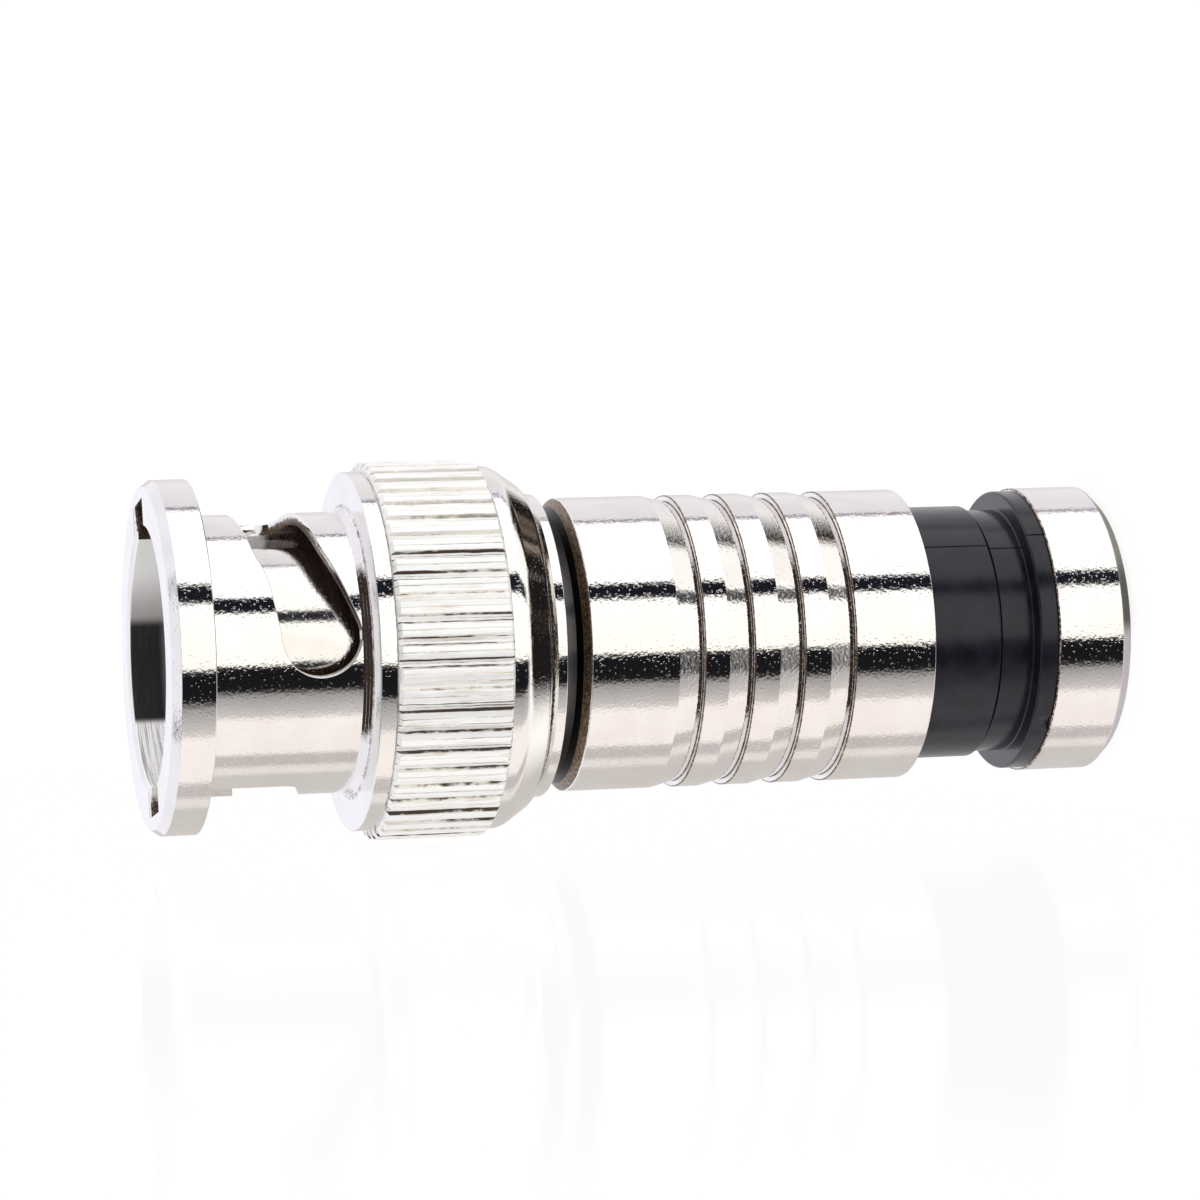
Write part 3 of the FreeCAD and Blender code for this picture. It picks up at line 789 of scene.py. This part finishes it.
# Front body: the outer contact sleeve inside the nut, with the flange that the washers bear on and
# the tail that is pressed into the barrel. Turned brass, nickel plated.
BODY_OUTLINE = [
    (3.00, 20.10, 0.0, 0.0),
    (3.80, 20.10, 0.05, 0.0),
    (3.80, 27.40, 0.0, 0.0),
    (4.80, 27.40, 0.08, 0.0),
    (4.80, 28.40, 0.08, 0.0),
    (4.05, 28.40, 0.05, 0.0),
    (4.05, 36.05, 0.22, 0.0),
    (3.50, 36.05, 0.10, 0.2),
    (3.50, 28.40, 0.0, 0.0),
    (3.00, 28.40, 0.0, 0.0),
]

# Inside radius 3.6 and below 35.9 this finish paints the wall dark brown as shade, the post's whole tube
# included.
body_plate = nickel("body_nickel", (0.80, 0.775, 0.745, 1.0), (0.74, 0.70, 0.66, 1.0),
                    pit_depth=3.0, ring_depth=1.2, roughness=0.08, bore=(3.6, 35.9))
sleeve = ring_mesh("contact_sleeve", BODY_OUTLINE)
add_piece("contact_sleeve", sleeve, body_plate, "body", "nickel_plate", "front_body")


# Gasket: a soft silicone ring on the sleeve's root, which seals against the jack's front edge.
GASKET_OUTLINE = [
    (4.05, 28.40, 0.0, 0.0),
    (4.75, 28.40, 0.12, 0.0),
    (4.75, 29.15, 0.25, 0.0),
    (4.05, 29.15, 0.15, 0.0),
]


def moulded(name, dark, light, roughness, grain, streak):
    """A moulded surface: two tones clouded together, a fine grain and faint streaks round the axis."""
    made, start = new_material(name)
    place = millimetres(start)
    x, y, z = start.parts(place)
    cloud = start.noise(place, 1.1, 3.0)
    fine = start.noise(place, 14.0, 2.0)
    streaks = start.noise(start.vector(x * 1.5, y * 1.5, z * 14.0), 1.0, 3.0, 0.6)
    colour = start.mix(cloud.rise(0.3, 0.7), dark, light)
    height = fine * grain + streaks * streak
    relief = start.node("ShaderNodeBump", {}, {"Strength": 1.0, "Distance": MICRON, "Height": height})
    finish_material(start, {
        "Base Color": colour,
        "Roughness": roughness + cloud * 0.1 + (streaks - 0.5) * 0.15,
        "IOR": 1.4,
        "Normal": relief,
    })
    return made


rubber = moulded("silicone", (0.50, 0.10, 0.04, 1.0), (0.58, 0.14, 0.06, 1.0),
                 roughness=0.45, grain=4.0, streak=0.0)
gasket = ring_mesh("gasket", GASKET_OUTLINE)
add_piece("gasket", gasket, rubber, "body", "silicone", "face_gasket")


# Washers and wave spring: flat nickel plated rings and a thin steel washer pressed into waves.
# They push the nut back on the body and lie hidden in its bore, in the shapes of the CAD.
washer_plate = nickel("washer_nickel", (0.78, 0.76, 0.73, 1.0), (0.70, 0.67, 0.63, 1.0),
                      pit_depth=3.0, ring_depth=1.5, roughness=0.16)
spring_plate = nickel("spring_steel", (0.56, 0.54, 0.50, 1.0), (0.48, 0.45, 0.41, 1.0),
                      pit_depth=3.0, ring_depth=0.8, roughness=0.22)
for node, finish in (("front_washer", washer_plate), ("thrust_washer", washer_plate),
                     ("wave_spring", spring_plate)):
    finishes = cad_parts[node].data.materials
    if not finishes:
        finishes.append(finish)
    for index in range(len(finishes)):
        finishes[index] = finish


# Centre contact: the gold plated pin on the axis, its tip rounded off to find the jack's socket,
# and behind it a thicker barrel that grips the cable's wire.
PIN_OUTLINE = [
    (0.45, 23.00, 0.0, 0.0),
    (1.05, 23.00, 0.04, 0.0),
    (1.05, 28.00, 0.03, 0.0),
    (0.85, 28.00, 0.0, 0.0),
    (0.85, 28.40, 0.03, 0.0),
    (0.675, 28.40, 0.0, 0.0),
    (0.675, 33.35, 0.30, 0.0),
    (0.42, 33.82, 0.14, 0.0),
    (0.0, 33.90, 0.0, 0.0),
    (0.0, 26.50, 0.0, 0.0),
    (0.45, 26.30, 0.0, 0.0),
]

gold = nickel("gold_plate", (0.95, 0.72, 0.33, 1.0), (0.88, 0.63, 0.26, 1.0),
              pit_depth=1.5, ring_depth=0.5, roughness=0.12)
pin = ring_mesh("contact_pin", PIN_OUTLINE)
add_piece("contact_pin", pin, gold, "body", "gold_plate", "centre_pin")


# Insulators: white moulded plastic. The front one centres the pin in the body, the rear one has
# the funnel that leads the cable's wire into the pin.
FRONT_INSULATOR_OUTLINE = [
    (1.05, 23.90, 0.0, 0.0),
    (3.00, 23.90, 0.0, 0.0),
    (3.00, 28.40, 0.08, 0.0),
    (0.85, 28.40, 0.04, 0.0),
    (0.85, 28.00, 0.0, 0.0),
    (1.05, 28.00, 0.0, 0.0),
]
REAR_INSULATOR_OUTLINE = [
    (1.80, 20.10, 0.08, 0.0),
    (3.00, 20.10, 0.0, 0.0),
    (3.00, 23.90, 0.0, 0.0),
    (1.05, 23.90, 0.0, 0.0),
    (1.05, 23.00, 0.0, 0.0),
    (0.60, 23.00, 0.0, 0.0),
    (0.60, 21.70, 0.10, 0.0),
]

ivory = moulded("white_insulator", (0.80, 0.79, 0.76, 1.0), (0.86, 0.85, 0.82, 1.0),
                roughness=0.34, grain=2.0, streak=0.5)
front_insulator = ring_mesh("front_insulator_disc", FRONT_INSULATOR_OUTLINE)
add_piece("front_insulator_disc", front_insulator, ivory, "body", "white_insulator", "front_insulator")
rear_insulator = ring_mesh("wire_guide", REAR_INSULATOR_OUTLINE)
add_piece("wire_guide", rear_insulator, ivory, "body", "white_insulator", "rear_insulator")


# Post: the thin tube that is pushed under the cable's braid, barbed at its end, with a flange
# that sits on the barrel's shoulder. Turned brass, its nickel plate painted dark brown all along
# the tube as shade.
POST_OUTLINE = [
    (1.95, 4.70, 0.04, 0.5),
    (2.25, 4.70, 0.05, 0.6),
    (2.55, 5.50, 0.04, 0.3),
    (2.25, 5.50, 0.0, 0.3),
    (2.25, 6.70, 0.0, 0.0),
    (2.55, 7.50, 0.04, 0.3),
    (2.25, 7.50, 0.0, 0.3),
    (2.25, 19.30, 0.15, 0.0),
    (5.02, 19.30, 0.0, 0.0),
    (5.02, 20.10, 0.0, 0.0),
    (1.95, 20.10, 0.0, 0.9),
]

post = ring_mesh("cable_post", POST_OUTLINE)
add_piece("cable_post", post, body_plate, "body", "nickel_plate", "post")


# Barrel: the plain sleeve that the cable's jacket is squeezed in. Four shallow barbs are turned
# in its outside, and its front chamfer and the steps of the barbs show bare brown brass.
BARREL_RADIUS = 5.68
BARREL_REAR = 8.10
BARREL_FRONT = 22.15
BARB_STEPS = (18.28, 16.33, 14.33, 12.31)
BARB_LENGTH = 0.99
BARB_DEPTH = 0.24


def barrel_outline():
    """Half section of the barrel, with one ramp and step for each barb."""
    corners = [
        (5.02, BARREL_REAR, 0.03, 0.3),
        (BARREL_RADIUS, BARREL_REAR, 0.06, 0.35),
    ]
    for step in reversed(BARB_STEPS):
        foot = step - BARB_LENGTH
        corners += [
            (BARREL_RADIUS, foot, 0.03, 0.8),
            (BARREL_RADIUS - BARB_DEPTH, foot, 0.0, 1.3),
            (BARREL_RADIUS - BARB_DEPTH, foot + 0.05, 0.0, 0.2),
            (BARREL_RADIUS, step, 0.05, 0.12),
        ]
    corners += [
        (BARREL_RADIUS, 21.67, 0.03, 0.0),
        (5.62, 21.72, 0.0, 1.0),
        (5.36, 21.92, 0.0, 1.2),
        # The front face, in the dark gap under the nut, is painted black as shade.
        (5.33, 21.95, 0.0, BLACK_GAP_SHADE),
        (5.12, BARREL_FRONT, 0.0, BLACK_GAP_SHADE),
        (3.80, BARREL_FRONT, 0.0, BLACK_GAP_SHADE),
        (3.80, 20.10, 0.0, 0.0),
        (5.02, 20.10, 0.0, 0.0),
    ]
    return corners


barrel_plate = nickel("barrel_nickel", (0.83, 0.805, 0.78, 1.0), (0.79, 0.76, 0.73, 1.0),
                      pit_depth=4.0, ring_depth=0.5, roughness=0.03)
barrel = ring_mesh("barrel_sleeve", barrel_outline())
add_piece("barrel_sleeve", barrel, barrel_plate, "body", "nickel_plate", "barrel")


# Compression ferrule: black moulded plastic that a hand tool drives up the barrel. The mould's
# parting line runs along both sides, and its flange has a small nick.
GROOVE_RADIUS = 4.70
FLANGE_RADIUS = 5.50
FERRULE_OUTLINE = [
    (4.15, 0.70, 0.0, 0.0),
    (5.10, 0.70, 0.0, 0.0),
    (5.10, 3.08, 0.0, 0.0),
    (FLANGE_RADIUS, 3.08, 0.04, 0.0),
    (FLANGE_RADIUS, 3.82, 0.10, 0.0),
    (4.78, 3.82, 0.06, 0.0),
    (4.78, 5.12, 0.03, 0.0),
    (GROOVE_RADIUS, 5.14, 0.0, 0.0),
    (GROOVE_RADIUS, 5.22, 0.0, 0.0),
    (4.96, 5.25, 0.05, 0.0),
    (4.96, 10.90, 0.10, 0.0),
    (4.20, 12.10, 0.05, 0.0),
    (3.75, 12.10, 0.05, 0.0),
    (3.75, 4.60, 0.05, 0.0),
    (4.15, 4.60, 0.05, 0.0),
]
PARTING_TURNS = (math.radians(-47.6), math.radians(132.4))
PARTING_WIDTH = math.radians(0.35)
PARTING_DEPTH = 0.045
NICK_TURN = math.radians(-131.0)
NICK_WIDTH = math.radians(3.2)
NICK_DEPTH = 0.16
NICK_TOP = 3.6


def turn_between(a, b):
    """The angle between two directions round the axis."""
    return abs((a - b + math.pi) % math.tau - math.pi)


def ferrule_wall(angle, radius, height):
    """The ferrule's radius with the parting lines and the nick taken off."""
    if radius < GROOVE_RADIUS:
        return radius
    for line in PARTING_TURNS:
        radius -= PARTING_DEPTH * max(0.0, 1 - turn_between(angle, line) / PARTING_WIDTH)
    if radius > FLANGE_RADIUS - 0.2 and height < NICK_TOP:
        radius -= NICK_DEPTH * max(0.0, 1 - (turn_between(angle, NICK_TURN) / NICK_WIDTH) ** 2)
    return radius


def ferrule_columns():
    """Column angles all round, with three close ones on each parting line."""
    angles = [math.tau * column / COLUMNS for column in range(COLUMNS)]
    for line in PARTING_TURNS:
        angles = [angle for angle in angles if turn_between(angle, line) > PARTING_WIDTH * 1.5]
        angles += [(line + side * PARTING_WIDTH) % math.tau for side in (0, -1, 1)]
    return sorted(angles)


black = moulded("black_plastic", (0.006, 0.006, 0.010, 1.0), (0.013, 0.013, 0.021, 1.0),
                roughness=0.15, grain=2.0, streak=4.0)
ferrule = ring_mesh("ferrule_sleeve", FERRULE_OUTLINE, ferrule_columns(), ferrule_wall)
add_piece("ferrule_sleeve", ferrule, black, "rear", "black_plastic", "compression_ferrule")


# End cap: a turned brass ring, nickel plated, pressed over the ferrule's rear. The cable passes
# through its hole, its rear face keeps the rings of the parting tool, and the chamfer is matt grey
# with painted shade, darker on the +X side.
CAP_OUTLINE = [
    (4.15, 0.12, 0.0, 0.0),
    (4.27, 0.0, 0.04, 0.3),
    (5.18, 0.0, 0.05, MATT),
    (5.60, 0.42, 0.05, MATT),
    (5.60, 3.08, 0.04, 0.9),
    (5.10, 3.08, 0.03, 1.0),
    (5.10, 0.70, 0.0, 0.0),
    (4.15, 0.70, 0.0, 0.0),
]

cap_plate = nickel("cap_nickel", (0.83, 0.805, 0.785, 1.0), (0.79, 0.76, 0.74, 1.0),
                   pit_depth=4.0, ring_depth=1.5, roughness=0.04, wear_colour=(0.55, 0.45, 0.37, 1.0))
cap = ring_mesh("cap_ring", CAP_OUTLINE)
add_piece("cap_ring", cap, cap_plate, "rear", "nickel_plate", "end_cap")


# Studio: a pale floor under the upright plug, a pale gloss panel beside it in place of the table
# that it lies on when the camera is rolled, and an even white surround with a few dark gaps.
FLOOR_REACH = 600.0
FLOOR_DEPTH = 0.01
PANEL_DISTANCE = 7.26
PANEL_CORNERS = ((-110.0, 0.0), (70.0, 0.0), (70.0, 90.0), (-110.0, 90.0))
# What a level ray meets: an angle in degrees from -Y towards +X, and the colour there.
SURROUND = [
    (-180, (0.68, 0.65, 0.63)),
    (-115, (0.72, 0.69, 0.67)),
    (-111, (0.95, 0.91, 0.89)),
    (-104, (0.95, 0.91, 0.89)),
    (-100, (0.66, 0.62, 0.61)),
    (-90, (0.66, 0.62, 0.61)),
    (-86, (1.12, 1.05, 1.03)),
    (-54, (1.16, 1.09, 1.06)),
    (-49, (0.72, 0.69, 0.68)),
    (-33, (0.42, 0.41, 0.41)),
    (-28, (0.012, 0.012, 0.014)),
    (-9, (0.010, 0.010, 0.012)),
    (-7, (1.30, 1.28, 1.22)),
    (34, (1.40, 1.39, 1.36)),
    (36, (0.012, 0.013, 0.02)),
    (47, (0.012, 0.013, 0.02)),
    (49, (1.45, 1.45, 1.45)),
    (109, (1.40, 1.40, 1.42)),
    (111, (0.35, 0.32, 0.40)),
    (113, (0.35, 0.32, 0.40)),
    (115, (0.93, 0.91, 0.95)),
    (150, (0.98, 0.96, 0.99)),
    (180, (0.68, 0.65, 0.63)),
]


def studio_world():
    """White for the camera, a plain light for rough surfaces, the surround for reflections."""
    world = bpy.data.worlds.new("studio")
    scene.world = world
    world.use_nodes = True
    world.node_tree.nodes.clear()
    start = Wire(world.node_tree)
    way = start.node("ShaderNodeTexCoord", {}, {}, "Generated")
    way = start.node("ShaderNodeVectorMath", {"operation": "NORMALIZE"}, {0: way})
    x, y, z = start.parts(way)
    down = -z
    turn = start.math("ARCTAN2", x, -y)
    # Level rays meet the surround, rays far down a warm white, and rays that rise a cool white.
    around = turn * (1 / math.tau) + 0.5
    stops = [((angle + 180) / 360, colour) for angle, colour in SURROUND]
    band = start.node("ShaderNodeValToRGB", {"stops": stops}, {0: around})
    steep = start.math("MAXIMUM", down.rise(0.64, 0.87), down.rise(0.40, 0.55) * turn.rise(0.7, 1.0))
    mirror = start.mix(steep, band, (1.22, 1.20, 1.18, 1.0))
    mirror = start.mix(z.rise(0.02, 0.10), mirror, (1.03, 1.03, 1.12, 1.0))
    # Brown blotches lie straight down and low behind, and a dark brown rises on the camera's side.
    blotch = start.noise(way, 5.0, 2.0).rise(0.52, 0.72)
    brown = start.mix(blotch, (0.015, 0.013, 0.013, 1.0), (0.32, 0.25, 0.20, 1.0))
    behind = y.rise(-0.05, 0.10) * down.rise(0.45, 0.60)
    under = start.math("MAXIMUM", down.rise(0.86, 0.93), behind) * x.rise(-0.45, -0.20)
    mirror = start.mix(under, mirror, brown)
    ahead = z.rise(0.20, 0.35) * (1.0 - z.rise(0.78, 0.86)) * (-y).rise(0.10, 0.30)
    mirror = start.mix(ahead, mirror, (0.040, 0.028, 0.025, 1.0))
    direct = start.node("ShaderNodeLightPath", {}, {}, "Is Camera Ray")
    outputs = direct.socket.node.outputs
    glossy = Wire(world.node_tree, outputs["Is Glossy Ray"])
    passing = Wire(world.node_tree, outputs["Is Transmission Ray"])
    seen = start.mix(glossy, (0.90, 0.90, 0.90, 1.0), mirror)
    seen = start.mix(start.math("MAXIMUM", direct, passing), seen, (1.0, 1.0, 1.0, 1.0))
    light = start.node("ShaderNodeBackground", {}, {"Color": seen, "Strength": 1.0})
    start.node("ShaderNodeOutputWorld", {}, {"Surface": light})


def stage_sheet(name, corners, finish):
    """One square of the stage, which is no piece of the plug, from its corners in millimetres."""
    mesh = bpy.data.meshes.new(name)
    mesh.from_pydata([Vector(corner) * MM for corner in corners], [], [(0, 1, 2, 3)])
    mesh.materials.append(finish)
    made = bpy.data.objects.new(name, mesh)
    scene.collection.objects.link(made)
    return made


def floor_finish():
    """White to the eye, with a diffuse share that takes the plug's soft shadow."""
    made, start = new_material("floor")
    grey = start.noise(millimetres(start), 0.02, 2.0)
    colour = start.mix(grey, (0.90, 0.90, 0.90, 1.0), (0.92, 0.92, 0.92, 1.0))
    glow = start.node("ShaderNodeEmission", {}, {"Color": (1.0, 1.0, 1.0, 1.0), "Strength": 1.12})
    matt = start.node("ShaderNodeBsdfDiffuse", {}, {"Color": colour})
    both = start.node("ShaderNodeMixShader", {}, {0: 0.25, 1: glow, 2: matt})
    start.node("ShaderNodeOutputMaterial", {}, {"Surface": both})
    return made


def panel_finish():
    """White gloss that mirrors a little, and is clear from behind."""
    made, start = new_material("panel")
    glow = start.node("ShaderNodeEmission", {}, {"Color": (1.0, 1.0, 1.0, 1.0), "Strength": 1.025})
    gloss = start.node("ShaderNodeBsdfAnisotropic", {}, {"Color": (1.0, 1.0, 1.0, 1.0), "Roughness": 0.08})
    both = start.node("ShaderNodeMixShader", {}, {0: 0.07, 1: glow, 2: gloss})
    clear = start.node("ShaderNodeBsdfTransparent", {}, {})
    behind = start.node("ShaderNodeNewGeometry", {}, {}, "Backfacing")
    shown = start.node("ShaderNodeMixShader", {}, {0: behind, 1: both, 2: clear})
    start.node("ShaderNodeOutputMaterial", {}, {"Surface": shown})
    return made


studio_world()
floor_corners = [(x * FLOOR_REACH, y * FLOOR_REACH, -FLOOR_DEPTH)
                 for x, y in ((-1, -1), (1, -1), (1, 1), (-1, 1))]
floor = stage_sheet("floor", floor_corners, floor_finish())
floor.visible_glossy = False
panel = stage_sheet("table_panel", [(-PANEL_DISTANCE, y, z) for y, z in PANEL_CORNERS], panel_finish())
panel.visible_glossy = False
panel.visible_diffuse = False
panel.visible_transmission = False
panel.visible_shadow = False


# Camera: a long lens at the photograph's angle. The plug lies with its axis across the picture,
# so the camera is rolled a quarter turn against the upright row frame.
IMAGE_SIDE = 1200.0
FOCAL_PIXELS = 4349.1
SENSOR = 36.0
MOUTH_FROM_CAMERA = Vector((-17.194, 2.216, 164.61))
AXIS_YAW = 0.2477
AXIS_PITCH = -0.0305
PLUG_LENGTH = 37.70

rearward = Vector((math.cos(AXIS_YAW) * math.cos(AXIS_PITCH), math.sin(AXIS_PITCH),
                   math.sin(AXIS_YAW) * math.cos(AXIS_PITCH)))
origin = MOUTH_FROM_CAMERA + rearward * PLUG_LENGTH
axis_z = -rearward
image_up = Vector((0.0, -1.0, 0.0))
axis_x = (image_up - rearward * image_up.dot(rearward)).normalized()
axis_y = axis_z.cross(axis_x)
to_row = Matrix((axis_x, axis_y, axis_z))
right = to_row @ Vector((1.0, 0.0, 0.0))
up = to_row @ Vector((0.0, -1.0, 0.0))
back = to_row @ Vector((0.0, 0.0, -1.0))
place = to_row @ -origin * MM
eye = bpy.data.cameras.new("camera")
eye.sensor_fit = "HORIZONTAL"
eye.sensor_width = SENSOR
eye.lens = FOCAL_PIXELS / IMAGE_SIDE * SENSOR
eye.clip_start = 0.005
eye.clip_end = 10.0
camera = bpy.data.objects.new("camera", eye)
scene.collection.objects.link(camera)
camera.matrix_world = Matrix((
    (right.x, up.x, back.x, place.x),
    (right.y, up.y, back.y, place.y),
    (right.z, up.z, back.z, place.z),
    (0.0, 0.0, 0.0, 1.0),
))
scene.camera = camera
scene.view_settings.view_transform = "Standard"

bpy.context.view_layer.update()
